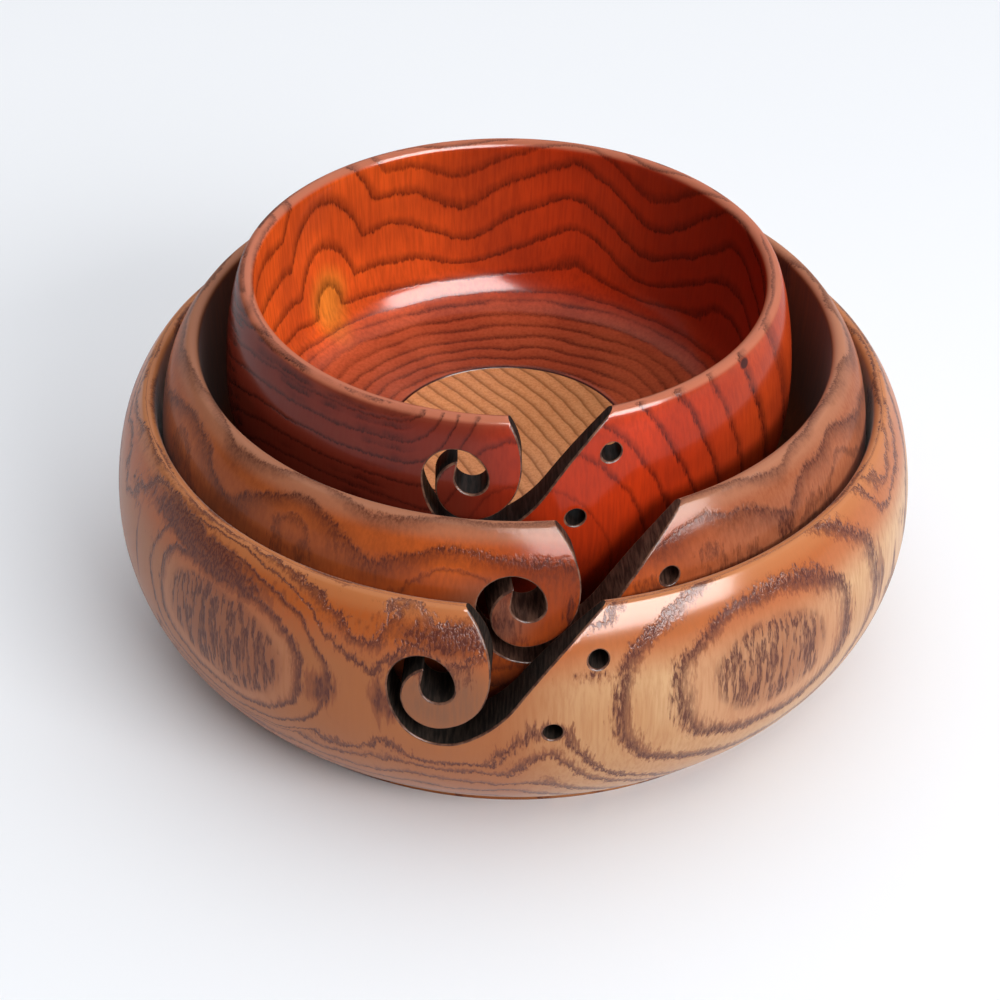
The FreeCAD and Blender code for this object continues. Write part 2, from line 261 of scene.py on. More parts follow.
def slot_outline(size):
    """The yarn slot seen from the front, anticlockwise: outer edge, over the rim, hook, tip and eye."""
    scale = size["scroll_scale"]
    eye = (size["eye_offset"], size["eye_height"])
    radius = EYE_RADIUS * scale
    right = (eye[0] + radius, eye[1])
    left = (eye[0] - radius, eye[1])
    tip = (eye[0] + HOOK_TIP[0] * scale, eye[1] + HOOK_TIP[1] * scale)
    outer = arc_chain(right, 90.0, scale, OUTER_EDGE)
    hook = arc_chain(tip, HOOK_TIP_HEADING, scale, HOOK_EDGE)
    points = outer + line_points(outer[-1], hook[-1], 0.8)
    points += hook[-2::-1] + [tip] + line_points(tip, left, 0.5)
    return points + arc_points(eye, left, right, 0.4)


def hole_outline(size, hole):
    centre = (size[f"{hole}_offset"], size[f"{hole}_height"])
    radius = size["needle_hole"] / 2
    return [on_circle(centre, radius, 360.0 * k / HOLE_SIDES) for k in range(HOLE_SIDES)]


def grown(outline, amount):
    """Outline moved outwards, along the bisector of its neighbours, by an amount."""
    area = sum(a[0] * b[1] - b[0] * a[1] for a, b in zip(outline, outline[1:] + outline[:1]))
    sign = math.copysign(1.0, area)
    moved = []
    for before, point, after in zip(outline[-1:] + outline[:-1], outline, outline[1:] + outline[:1]):
        along = (Vector(point) - Vector(before)).normalized() + (Vector(after) - Vector(point)).normalized()
        along.normalize()
        moved.append((point[0] + sign * along.y * amount, point[1] - sign * along.x * amount))
    return moved


def cutter_mesh(name, outline, section):
    """Solid that cuts an outline through the front wall and eases both edges of the cut."""
    flare = CUT_FLARE
    angles = [math.radians(degrees) for degrees in CUT_EASE_STEPS]
    steps = [(EDGE_ROUND * (1 - math.cos(a)), EDGE_ROUND * (1 - math.sin(a))) for a in angles]
    wide = steps[0][0] + (flare + steps[0][1]) * math.tan(angles[0])
    outer_end = -section.size["belly_radius"] - CUTTER_CLEARANCE
    inner_end = -CUTTER_INNER_END * section.size["belly_radius"]
    rings = [(wide, None, outer_end), (wide, "outer", -flare)]
    rings += [(offset, "outer", depth) for offset, depth in steps]
    rings += [(offset, "inner", -depth) for offset, depth in reversed(steps)]
    rings += [(wide, "inner", flare), (wide, None, inner_end)]
    mesh = bmesh.new()
    loops = []
    for offset, side, depth in rings:
        loop = []
        for x, z in grown(outline, offset):
            y = depth
            if side:
                radius = section.outside(z) if side == "outer" else section.inside(z)
                y -= math.sqrt(radius ** 2 - x ** 2)
            loop.append(mesh.verts.new((x, y, z)))
        loops.append(loop)
    for ring, (near, far) in enumerate(zip(loops, loops[1:])):
        for k in range(len(near)):
            face = mesh.faces.new((near[k - 1], near[k], far[k], far[k - 1]))
            face.material_index = 0 if ring == len(steps) + 1 else 1
    mesh.faces.new(loops[0])
    mesh.faces.new(loops[-1])
    bmesh.ops.recalc_face_normals(mesh, faces=mesh.faces)
    data = bpy.data.meshes.new(name)
    mesh.to_mesh(data)
    mesh.free()
    return data


def turned_mesh(name, outline):
    """Mesh of an outline turned about the z axis."""
    verts = []
    for k in range(SPOKES):
        angle = math.tau * k / SPOKES
        verts += [(r * math.sin(angle), -r * math.cos(angle), z) for r, z in outline]
    count = len(outline)
    faces = []
    for k in range(SPOKES):
        here = k * count
        there = (k + 1) % SPOKES * count
        for i in range(count):
            j = (i + 1) % count
            faces.append((here + i, there + i, there + j, here + j))
    data = bpy.data.meshes.new(name)
    data.from_pydata(verts, [], faces)
    data.validate()
    return data


def add_object(name, data):
    piece = bpy.data.objects.new(name, data)
    bpy.context.scene.collection.objects.link(piece)
    return piece


def make_shell(name, section, materials):
    """Turned shell with its slot and needle holes cut and every edge eased, in place of the CAD shell."""
    shell = add_object(f"{name}_turned_shell", turned_mesh(f"{name}_turned_shell", section.outline()))
    body_wood, cut_wood, worn_edge = materials
    shell.data.materials.append(body_wood)
    outlines = [slot_outline(section.size)]
    outlines += [hole_outline(section.size, hole) for hole in ("upper_hole", "lower_hole")]
    cutters = []
    for outline in outlines:
        cutter = add_object(f"{name}_cutter", cutter_mesh(f"{name}_cutter", outline, section))
        cutter.data.materials.append(cut_wood)
        cutter.data.materials.append(worn_edge)
        cut = shell.modifiers.new("cut", "BOOLEAN")
        cut.operation = "DIFFERENCE"
        cut.solver = "MANIFOLD"
        cut.material_mode = "TRANSFER"
        cut.object = cutter
        cutters.append(cutter)
    bpy.context.view_layer.update()
    evaluated = shell.evaluated_get(bpy.context.evaluated_depsgraph_get())
    data = bpy.data.meshes.new_from_object(evaluated)
    shell.modifiers.clear()
    shell.data = data
    for cutter in cutters:
        bpy.data.objects.remove(cutter)
    data.transform(Matrix.Scale(MM, 4) @ section.place)
    data.shade_smooth()
    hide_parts(f"{name}_shell")
    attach(shell, f"{name}_bowl")


# ---------------------------------------------------------------- materials

def colour(red, green, blue):
    """Colour given as it looks on a screen, from 0 to 255."""
    values = [c / 255 for c in (red, green, blue)]
    return tuple(c / 12.92 if c <= 0.04045 else ((c + 0.055) / 1.055) ** 2.4 for c in values) + (1.0,)


# Depth of the relief, in metres: grain of the small bowl and the discs, of the other two bowls, and
# rasp marks.
FINE_BUMP = 0.00003
COARSE_BUMP = 0.00006
RASP_BUMP = 0.00008
# The clear coat, and the satin haze that it shows at a glancing angle.
GLOSSY_COAT = 0.37
SATIN_COAT = 0.2
WORN_COAT = 0.1
COAT_ROUGHNESS = 0.16
COAT_IOR = 1.5
SHEEN_ROUGHNESS = 0.4
# Roughness of the wood between the dark grain and in it.
GRAIN_ROUGHNESS = (0.34, 0.5)


class Nodes:
    """Node tree of one material, with short calls that return output sockets."""

    def __init__(self, name):
        self.material = bpy.data.materials.new(name)
        self.material.use_nodes = True
        self.tree = self.material.node_tree
        self.tree.nodes.clear()

    def add(self, kind, inputs=(), **settings):
        node = self.tree.nodes.new(f"ShaderNode{kind}")
        for key, value in settings.items():
            setattr(node, key, value)
        for key, value in dict(inputs).items():
            self.put(node.inputs[key], value)
        return node

    def put(self, socket, value):
        if isinstance(value, bpy.types.NodeSocket):
            self.tree.links.new(value, socket)
        else:
            socket.default_value = value

    def math(self, operation, *values):
        return self.add("Math", enumerate(values), operation=operation).outputs[0]

    def vector(self, operation, *values):
        node = self.add("VectorMath", enumerate(values), operation=operation)
        return node.outputs["Value" if operation in ("LENGTH", "DOT_PRODUCT") else "Vector"]

    def noise(self, vector, scale, detail=2.0, roughness=0.5, output="Fac"):
        inputs = {"Vector": vector, "Scale": scale, "Detail": detail, "Roughness": roughness}
        return self.add("TexNoise", inputs).outputs[output]

    def mapped(self, vector, location=(0, 0, 0), rotation=(0, 0, 0), scale=(1, 1, 1), kind="POINT"):
        inputs = {"Vector": vector, "Location": location, "Rotation": rotation, "Scale": scale}
        return self.add("Mapping", inputs, vector_type=kind).outputs[0]

    def between(self, value, low, high, to_low=0.0, to_high=1.0, smooth=True):
        """Value taken from low..high to to_low..to_high, held at both ends."""
        kind = "SMOOTHSTEP" if smooth else "LINEAR"
        inputs = {"Value": value, "From Min": low, "From Max": high, "To Min": to_low, "To Max": to_high}
        return self.add("MapRange", inputs, interpolation_type=kind).outputs[0]

    def mix(self, factor, first, second):
        """Mix of two colours."""
        return self.add("Mix", {0: factor, 6: first, 7: second}, data_type="RGBA").outputs[2]

    def blend(self, factor, first, second):
        """Mix of two numbers."""
        return self.add("Mix", {0: factor, 2: first, 3: second}, data_type="FLOAT").outputs[0]

    def curve(self, value, stops, low, high):
        """Level from a list of at most 32 (value, level) stops between low and high."""
        node = self.add("ValToRGB", {"Fac": self.between(value, low, high, smooth=False)})
        ramp = node.color_ramp
        for k, (position, level) in enumerate(stops):
            place = (position - low) / (high - low)
            stop = ramp.elements[k] if k < 2 else ramp.elements.new(place)
            stop.position = place
            stop.color = (level, level, level, 1.0)
        return self.add("SeparateColor", {0: node.outputs[0]}).outputs[0]

    def finish(self, shader):
        output = self.add("OutputMaterial")
        self.tree.links.new(shader, output.inputs["Surface"])
        return self.material


def bowl_coordinates(n, section):
    """Object coordinates in millimetres from the bowl's own axis and base."""
    place = n.add("TexCoord").outputs["Object"]
    return n.vector("SUBTRACT", n.vector("MULTIPLY", place, (1 / MM,) * 3), tuple(section.rest))


def warped(n, place, slow, slow_scale, quick, quick_scale):
    """Coordinates pushed about by a slow and a quick noise."""
    far = n.vector("SUBTRACT", n.noise(place, slow_scale, 1.0, output="Color"), (0.5,) * 3)
    near = n.vector("SUBTRACT", n.noise(place, quick_scale, 2.0, output="Color"), (0.5,) * 3)
    place = n.vector("ADD", place, n.vector("MULTIPLY", far, (slow * 2,) * 3))
    return n.vector("ADD", place, n.vector("MULTIPLY", near, (quick * 2,) * 3))


def hill(n, place, section, degrees, height, width, tall, depth=25.0, inset=0.0):
    """Distance from a point on the bowl's outside, 1 on an ellipse of a half width and a half height."""
    radius = section.outside(height) - inset
    angle = math.radians(degrees)
    centre = (radius * math.sin(angle), -radius * math.cos(angle), height)
    turned = n.mapped(place, centre, (0.0, 0.0, angle), (width, depth, tall), kind="TEXTURE")
    return n.vector("LENGTH", turned)


def swell(n, place, section, patches):
    """Sum of soft patches on the wall, each (degrees, height, half width, half height, amount)."""
    total = 0.0
    for degrees, height, width, tall, amount in patches:
        reach = hill(n, place, section, degrees, height, width, tall)
        rise = n.math("EXPONENT", n.math("MULTIPLY", n.math("POWER", reach, 2.0), -1.0))
        total = n.math("MULTIPLY_ADD", rise, amount, total)
    return total


def axis_distance(n, place, x=0.0, y=0.0):
    """Distance from an upright axis."""
    flat = n.vector("MULTIPLY", n.vector("SUBTRACT", place, (x, y, 0.0)), (1.0, 1.0, 0.0))
    return n.vector("LENGTH", flat)


def split(n, place):
    """The x, y and z of a vector."""
    return n.add("SeparateXYZ", {0: place}).outputs


def ring_bands(n, torn, bands, limits):
    """Dark bands in a ring distance: each (level, rise, fade, strength) is darkest at its level."""
    stops = [(limits[0], 0.0)]
    for level, rise, fade, strength in bands:
        stops += [(level - rise, 0.0), (level, strength), (level + fade, 0.0)]
    return n.curve(torn, stops, *limits)


def even_lines(n, distance, spacing, stops):
    """Lines repeated at an even spacing."""
    return n.curve(n.math("FRACT", n.math("DIVIDE", distance, spacing)), stops, 0.0, 1.0)


def fibres(n, place, size, stretch):
    """Noise drawn out along the upright fibres, about zero."""
    drawn = n.noise(n.mapped(place, scale=(1.0, 1.0, stretch)), 1.0 / size, 3.0, 0.6)
    return n.math("SUBTRACT", drawn, 0.5)


def slow_change(n, place, scale):
    """Noise for slow changes of tone, 0 to 1."""
    return n.noise(place, scale, 2.0, 0.5)


def facing_out(n, place):
    """1 on the bowl's outside and 0 on the inside and the floor."""
    normal = n.add("TexCoord").outputs["Normal"]
    flat = n.vector("NORMALIZE", n.vector("MULTIPLY", place, (1.0, 1.0, 0.0)))
    return n.between(n.vector("DOT_PRODUCT", normal, flat), 0.0, 0.25)


def rim_wear(n, section, place):
    """1 on top of the rim, where the finish has worn thin."""
    normal = n.add("TexCoord").outputs["Normal"]
    level = n.between(split(n, normal)[2], 0.25, 0.8)
    rim = section.size["rim_height"]
    high = n.between(split(n, place)[2], rim - 5.0, rim - 2.0)
    return n.math("MULTIPLY", level, high)


def lacquered(n, base, height, roughness, bump=FINE_BUMP, coat=GLOSSY_COAT, sheen=0.0):
    """Wood under a clear coat: the wood itself has no gloss, the coat has it all."""
    relief = n.add("Bump", {"Height": height, "Strength": 1.0, "Distance": bump}).outputs[0]
    inputs = {
        "Base Color": base,
        "Roughness": roughness,
        "Specular IOR Level": 0.0,
        "Normal": relief,
        "Coat Weight": coat,
        "Coat Roughness": COAT_ROUGHNESS,
        "Coat IOR": COAT_IOR,
        "Coat Normal": relief,
        "Sheen Weight": sheen,
        "Sheen Roughness": SHEEN_ROUGHNESS,
    }
    return n.finish(n.add("BsdfPrincipled", inputs).outputs[0])


def broken_up(n, dark, fine, low=-0.1, high=0.1, least=0.6):
    """Dark grain broken up by pores along the fibres."""
    return n.math("MULTIPLY", dark, n.between(fine, low, high, least, 1.0))


def streaked(n, place, base, size, stretch, strength, tone):
    """Base colour with faint streaks of a tone along the fibres."""
    return n.mix(n.between(fibres(n, place, size, stretch), -0.15, 0.2, 0.0, strength), base, tone)


def grained(n, base, dark, strength, tone, **finish):
    """Lacquered wood with its dark grain in a tone, a little sunk and less smooth."""
    wood = n.mix(n.math("MULTIPLY", dark, strength), base, tone)
    rough = n.between(dark, 0.0, 1.0, *GRAIN_ROUGHNESS)
    return lacquered(n, wood, n.math("MULTIPLY", dark, -1.0), rough, **finish)


# Ovals on the large bowl's wall: (degrees, height, half width, half height) of the first ring and how
# steeply the rings fall away.
LARGE_OVALS = ((37.0, 43.0, 27.0, 19.0, 1.6), (-43.0, 44.0, 25.0, 17.0, 3.0),
               (104.0, 42.0, 33.0, 17.0, 1.6), (162.0, 46.0, 22.0, 13.0, 1.8),
               (-104.0, 38.0, 30.0, 18.0, 1.8), (-160.0, 48.0, 30.0, 12.0, 1.6))
# Arches low on the wall, the same way round.
LARGE_ARCHES = ((6.0, 19.0, 17.0, 22.0), (74.0, 16.0, 15.0, 20.0), (-74.0, 18.0, 13.0, 18.0),
                (132.0, 18.0, 18.0, 20.0), (-132.0, 18.0, 16.0, 22.0))
# Dips of the rings under the rim, and lone dark patches, as soft patches.
LARGE_DENTS = ((-23.0, 58.0, 11.0, 9.0, -3.0), (-5.0, 60.0, 12.0, 6.0, -0.7),
               (70.0, 58.0, 12.0, 7.0, -2.0), (132.0, 55.0, 14.0, 9.0, -2.4),
               (-72.0, 56.0, 12.0, 8.0, -2.0), (-130.0, 55.0, 14.0, 9.0, -2.4))
LARGE_PATCHES = ((-26.5, 41.0, 4.2, 5.0, 1.0), (-17.5, 42.0, 4.6, 6.0, 1.0), (-50.0, 61.0, 24.0, 4.2, 1.6),
                 (-8.0, 61.0, 17.0, 3.6, 1.2), (62.0, 42.0, 2.2, 9.0, 0.9), (68.0, 38.0, 1.6, 8.0, 0.9),
                 (-66.0, 44.0, 1.0, 12.0, 0.9), (140.0, 60.0, 24.0, 4.0, 0.9), (-120.0, 60.0, 24.0, 4.0, 0.9))
# Dark rings of the large bowl: level, rise, fade and strength.
LARGE_RINGS = ((50.0, 0.4, 2.5, 0.7), (64.0, 0.4, 2.5, 0.7), (77.0, 0.6, 2.0, 0.8), (84.5, 0.8, 1.2, 0.8),
               (89.3, 0.8, 1.2, 0.9), (93.0, 0.7, 1.2, 0.9), (96.2, 0.5, 1.0, 0.9), (98.2, 0.7, 0.6, 1.0),
               (101.9, 0.9, 1.2, 1.0), (106.0, 0.9, 1.3, 1.0))
LARGE_RING_RANGE = (40.0, 112.0)
# The rings cross the wall at a slant: the belly's height, and how far they lean above and below it.
LARGE_BELLY = 38.0
LEAN_ABOVE = 0.13
LEAN_BELOW = 0.15
# Ring spacing within an arch and an oval, the ring at the middle of each, and how softly each joins
# the rings round it.
ARCH_SPACING = 5.5
ARCH_MIDDLE = 93.0
ARCH_SOFTNESS = 0.6
OVAL_SPACING = 4.5
OVAL_MIDDLE = 110.5
OVAL_SOFTNESS = 1.0

LARGE_TONES = {
    "pale": colour(208, 166, 122),
    "fawn": colour(192, 142, 98),
    "brown": colour(162, 90, 46),
    "oval": colour(186, 122, 88),
    "shoulder": colour(176, 84, 32),
    "hook": colour(122, 82, 62),
    "foot": colour(150, 84, 40),
    "inside": colour(176, 112, 66),
    "streak": colour(160, 94, 54),
    "rim": colour(188, 118, 72),
    "stain": colour(122, 62, 38),
    "grain": colour(80, 38, 32),
}


def large_rings(n, section, wavy):
    """Rings of the outside, in millimetres, drawn into arches low on the wall and ovals round it."""
    over = n.math("SUBTRACT", split(n, wavy)[2], LARGE_BELLY)
    above = n.math("MULTIPLY", n.math("MAXIMUM", over, 0.0), LEAN_ABOVE)
    below = n.math("MULTIPLY", n.math("MINIMUM", over, 0.0), LEAN_BELOW)
    rings = n.math("ADD", axis_distance(n, wavy), n.math("ADD", above, below))
    rings = n.math("ADD", rings, swell(n, wavy, section, LARGE_DENTS))
    for arch in LARGE_ARCHES:
        reach = hill(n, wavy, section, *arch)
        reach = n.math("MULTIPLY_ADD", reach, ARCH_SPACING, ARCH_MIDDLE)
        rings = n.math("SMOOTH_MIN", rings, reach, ARCH_SOFTNESS)
    for *oval, steepness in LARGE_OVALS:
        reach = n.math("POWER", hill(n, wavy, section, *oval), steepness)
        reach = n.math("MULTIPLY_ADD", reach, -OVAL_SPACING, OVAL_MIDDLE)
        rings = n.math("SMOOTH_MAX", rings, reach, OVAL_SOFTNESS)
    return rings


def large_wood(section):
    """Golden brown wood with wide dark bands in ovals and arches."""
    n = Nodes("large_bowl_wood")
    tones = LARGE_TONES
    place = bowl_coordinates(n, section)
    wavy = warped(n, place, 4.5, 0.035, 1.3, 0.13)
    x, _, height = split(n, place)
    rings = large_rings(n, section, wavy)
    outside = facing_out(n, place)
    rings = n.blend(outside, axis_distance(n, warped(n, place, 5.0, 0.03, 0.5, 0.25)), rings)
    coarse = fibres(n, place, 1.3, 0.13)
    fine = fibres(n, place, 0.5, 0.16)
    torn = n.math("MULTIPLY_ADD", coarse, 1.7, n.math("MULTIPLY_ADD", fine, 1.9, rings))
    bands = ring_bands(n, torn, LARGE_RINGS, LARGE_RING_RANGE)
    slow = slow_change(n, place, 0.028)
    # A wide brown stain goes with each dark band, and the middles of the ovals are mottled.
    stain = n.math("MAXIMUM", n.between(bands, 0.0, 0.5), n.between(rings, 107.6, 109.2, 0.0, 0.85))
    stain = n.math("MULTIPLY", stain, n.between(slow, 0.4, 0.6, 0.5, 1.0))
    core = n.math("MULTIPLY", n.between(rings, 108.0, 108.8), n.between(coarse, -0.05, 0.03))
    patch = n.math("MULTIPLY", outside, swell(n, wavy, section, LARGE_PATCHES))
    patch = n.math("MULTIPLY_ADD", coarse, 1.6, patch)
    stain = n.math("MAXIMUM", stain, n.between(patch, 0.3, 0.6))
    dark = n.math("MAXIMUM", n.between(bands, 0.35, 0.85), core)
    dark = n.math("MAXIMUM", dark, n.between(patch, 0.6, 0.9))
    dark = broken_up(n, dark, fine, -0.12, 0.08, 0.45)
    # Pale wood right of the slot and brown wood left of it.
    outer = n.mix(n.between(slow, 0.35, 0.65), tones["pale"], tones["fawn"])
    outer = n.mix(n.between(x, 20.0, -4.0, 0.0, 0.9), outer, tones["brown"])
    outer = n.mix(n.between(rings, 104.5, 107.5, 0.0, 0.5), outer, tones["oval"])
    outer = n.mix(n.between(height, 48.0, 60.0, 0.0, 0.8), outer, tones["shoulder"])
    hook = n.between(hill(n, place, section, -9.0, 46.0, 13.0, 11.0), 1.3, 0.4, 0.0, 0.8)
    outer = n.mix(hook, outer, tones["hook"])
    outer = n.mix(n.between(height, 6.0, 3.0, 0.0, 0.7), outer, tones["foot"])
    base = n.mix(outside, tones["inside"], outer)
    base = streaked(n, place, base, 0.9, 0.04, 0.35, tones["streak"])
    base = n.mix(rim_wear(n, section, place), base, tones["rim"])
    base = n.mix(n.math("MULTIPLY", stain, 0.62), base, tones["stain"])
    return grained(n, base, dark, 0.88, tones["grain"], bump=COARSE_BUMP, sheen=0.22)


# Zigzags of the medium bowl's rings near its rim, as soft patches.
MEDIUM_DENTS = ((-20.0, 57.0, 9.0, 12.0, -1.8), (-35.0, 57.0, 7.0, 12.0, 2.4), (-50.0, 57.0, 8.0, 12.0, -2.6),
                (-66.0, 57.0, 8.0, 12.0, 2.0), (-86.0, 57.0, 12.0, 12.0, -2.4), (-9.0, 47.0, 11.0, 7.0, 3.2),
                (30.0, 57.0, 8.0, 12.0, 1.4), (46.0, 56.0, 8.0, 12.0, -2.6), (64.0, 57.0, 9.0, 12.0, 2.0),
                (88.0, 57.0, 12.0, 12.0, -2.4), (125.0, 55.0, 18.0, 14.0, 2.4),
                 (160.0, 56.0, 16.0, 12.0, -2.4),
                (-165.0, 55.0, 18.0, 14.0, 2.4), (-128.0, 56.0, 20.0, 12.0, -2.2))
# Lone dark patches, the same way.
MEDIUM_PATCHES = ((46.0, 49.5, 5.0, 3.5, 1.2), (-3.0, 40.0, 9.0, 3.5, 0.9), (8.0, 44.0, 3.0, 7.0, 0.8))
# Dark rings of the medium bowl: level, rise, fade and strength.
MEDIUM_RINGS = ((36.0, 0.4, 2.0, 0.6), (45.0, 0.4, 2.5, 0.7), (55.0, 0.4, 2.5, 0.7), (65.0, 0.5, 2.0, 0.8),
                (72.0, 0.3, 2.6, 0.8), (79.6, 0.6, 2.3, 0.9), (84.4, 0.7, 2.6, 1.0), (87.4, 0.5, 0.5, 0.9))


MEDIUM_RING_RANGE = (20.0, 92.0)

MEDIUM_TONES = {
    "chestnut": colour(190, 86, 32),
    "russet": colour(156, 62, 24),
    # The right and left tones are painted light and reflection: the wood made paler and greyer towards the
    # bowl's sides.
    "right": colour(158, 98, 68),
    "left": colour(158, 88, 46),
    # The inside tone is painted shade, dark like the gap between the bowls.
    "inside": colour(104, 54, 32),
    "hook": colour(120, 78, 60),
    "streak": colour(130, 60, 30),
    "rim": colour(170, 112, 84),
    "grain": colour(70, 34, 28),
}


def medium_wood(section):
    """Chestnut wood whose dark bands zigzag near the rim."""
    n = Nodes("medium_bowl_wood")
    tones = MEDIUM_TONES
    place = bowl_coordinates(n, section)
    wavy = warped(n, place, 2.5, 0.05, 0.5, 0.3)
    x = split(n, place)[0]
    rings = n.math("ADD", axis_distance(n, wavy), swell(n, wavy, section, MEDIUM_DENTS))
    coarse = fibres(n, place, 1.2, 0.14)
    fine = fibres(n, place, 0.5, 0.16)
    torn = n.math("MULTIPLY_ADD", coarse, 1.5, n.math("MULTIPLY_ADD", fine, 0.9, rings))
    bands = ring_bands(n, torn, MEDIUM_RINGS, MEDIUM_RING_RANGE)
    patch = n.math("MULTIPLY_ADD", coarse, 1.2, swell(n, wavy, section, MEDIUM_PATCHES))
    dark = n.math("MAXIMUM", bands, n.between(patch, 0.5, 0.8))
    dark = broken_up(n, dark, fine)
    slow = slow_change(n, place, 0.03)
    base = n.mix(n.between(slow, 0.35, 0.65), tones["chestnut"], tones["russet"])
    # Painted light and reflection: paler, greyer wood towards the right and left sides.
    base = n.mix(n.between(x, 20.0, 60.0, 0.0, 0.8), base, tones["right"])
    base = n.mix(n.between(x, 0.0, -60.0, 0.0, 0.6), base, tones["left"])
    # The inside gets the dark tone that paints in the shade between the bowls.
    base = n.mix(facing_out(n, place), tones["inside"], base)
    hook = n.between(hill(n, place, section, -4.0, 42.0, 11.0, 10.0), 1.3, 0.4, 0.0, 0.8)
    base = n.mix(hook, base, tones["hook"])
    base = streaked(n, place, base, 0.8, 0.05, 0.4, tones["streak"])
    base = n.mix(rim_wear(n, section, place), base, tones["rim"])
    return grained(n, base, dark, 0.9, tones["grain"], bump=COARSE_BUMP, coat=SATIN_COAT, sheen=0.08)


# Waves of the small bowl's rings on its inner wall, as soft patches.
SMALL_WAVES = ((164.0, 45.0, 11.0, 60.0, -3.4), (-168.0, 45.0, 10.0, 60.0, 2.6),
               (143.0, 45.0, 10.0, 60.0, 3.0), (112.0, 45.0, 14.0, 60.0, -4.0),
               (-84.0, 45.0, 12.0, 60.0, 2.0))
# Dark rings of its inside, and dark arches of its outside: level, rise, fade and strength.
SMALL_RINGS = ((59.5, 0.25, 1.5, 0.8), (63.8, 0.25, 1.3, 0.9), (68.0, 0.25, 1.3, 0.9), (72.4, 0.25, 1.3, 0.9),
               (76.6, 0.25, 1.3, 0.9), (80.0, 0.25, 1.3, 0.8), (84.0, 0.25, 1.3, 0.9))
SMALL_RING_RANGE = (30.0, 90.0)
SMALL_ARCHES = ((20.0, 0.4, 0.8, 0.5), (28.5, 0.5, 1.1, 0.8), (34.8, 0.5, 1.3, 0.9), (41.2, 0.5, 1.3, 1.0),
                (47.6, 0.5, 1.4, 1.0), (53.6, 0.5, 1.3, 0.9), (60.0, 0.5, 1.8, 1.0), (67.0, 0.5, 2.4, 0.8))
SMALL_ARCH_RANGE = (10.0, 90.0)
# Even lines: their spacing in millimetres, and how dark they are through one spacing.
FLOOR_LINE_SPACING = 3.7
FLOOR_LINE = ((0.0, 0.0), (0.2, 0.9), (0.5, 0.2), (1.0, 0.0))
PACKED_LINE_SPACING = 3.4
PACKED_LINE = ((0.0, 0.0), (0.2, 1.0), (0.55, 0.6), (1.0, 0.0))
# The rings tilt up the inner wall from this height, by this much for each millimetre.
WALL_START = 20.0
WALL_TILT = 0.40
# The loop on the inner wall: ring spacing in it, the ring at its middle, and how softly it joins.
LOOP_SPACING = 4.4
LOOP_MIDDLE = 60.0
LOOP_SOFTNESS = 1.0

SMALL_TONES = {
    # The inside is painted lighter on the left, the side that faces the light, and painted darker on the
    # right, where shade falls.
    "inside left painted light": colour(234, 96, 34),
    "inside middle": colour(190, 58, 23),
    "inside right painted shade": colour(134, 34, 18),
    "floor": colour(186, 88, 54),
    "loop": colour(240, 140, 50),
    # The outside's left, away from the light, is painted darker as shade.
    "outside left painted shade": colour(116, 42, 28),
    "outside middle": colour(196, 55, 18),
    "outside right": colour(180, 62, 22),
    "slow": colour(120, 34, 22),
    "joint": colour(60, 24, 16),
    "streak": colour(110, 30, 18),
    "rim": colour(182, 104, 76),
    "grain": colour(44, 14, 12),
}


def small_inner_bands(n, section, place, wavy, coarse, fine):
    """Waves on the inner wall round one loop, and close even lines on the floor."""
    height = split(n, place)[2]
    rise = n.math("MAXIMUM", n.math("SUBTRACT", height, WALL_START), 0.0)
    rise = n.math("MULTIPLY", rise, WALL_TILT)
    waves = n.math("MULTIPLY", swell(n, wavy, section, SMALL_WAVES), n.between(height, 20.0, 34.0))
    rings = n.math("ADD", n.math("ADD", axis_distance(n, wavy, 0.0, -3.0), rise), waves)
    loop = hill(n, wavy, section, -128.0, 24.0, 6.0, 12.0, depth=12.0, inset=6.5)
    loop = n.math("MULTIPLY_ADD", loop, LOOP_SPACING, LOOP_MIDDLE)
    rings = n.math("SMOOTH_MIN", rings, loop, LOOP_SOFTNESS)
    torn = n.math("MULTIPLY_ADD", coarse, 0.7, n.math("MULTIPLY_ADD", fine, 0.6, rings))
    bands = ring_bands(n, torn, SMALL_RINGS, SMALL_RING_RANGE)
    uneven = slow_change(n, place, 0.045)
    floor = even_lines(n, n.math("MULTIPLY_ADD", uneven, 6.0, torn), FLOOR_LINE_SPACING, FLOOR_LINE)
    floor = n.math("MULTIPLY", floor, n.between(rings, 58.5, 57.0))
    floor = n.math("MULTIPLY", floor, n.between(uneven, 0.35, 0.6, 0.55, 1.0))
    return n.math("MAXIMUM", bands, floor)


def small_outer_bands(n, section, place, wavy, coarse, fine, slow):
    """Arches over the front of the outer wall, which run on along the rim at the left."""
    x = split(n, place)[0]
    right_arch = hill(n, wavy, section, 3.0, 22.0, 1.0, 1.3, depth=4.0)
    left_arch = hill(n, wavy, section, -34.0, 22.0, 1.5, 0.72, depth=4.0)
    arch = n.blend(n.between(x, -4.0, -26.0), right_arch, left_arch)
    arch = n.math("MULTIPLY_ADD", coarse, 1.6, n.math("MULTIPLY_ADD", fine, 1.0, arch))
    bands = ring_bands(n, arch, SMALL_ARCHES, SMALL_ARCH_RANGE)
    packed = even_lines(n, arch, PACKED_LINE_SPACING, PACKED_LINE)
    left = n.math("MULTIPLY", n.between(x, -18.0, -28.0), n.between(slow, 0.44, 0.56))
    return n.math("MAXIMUM", bands, n.math("MULTIPLY", packed, left))


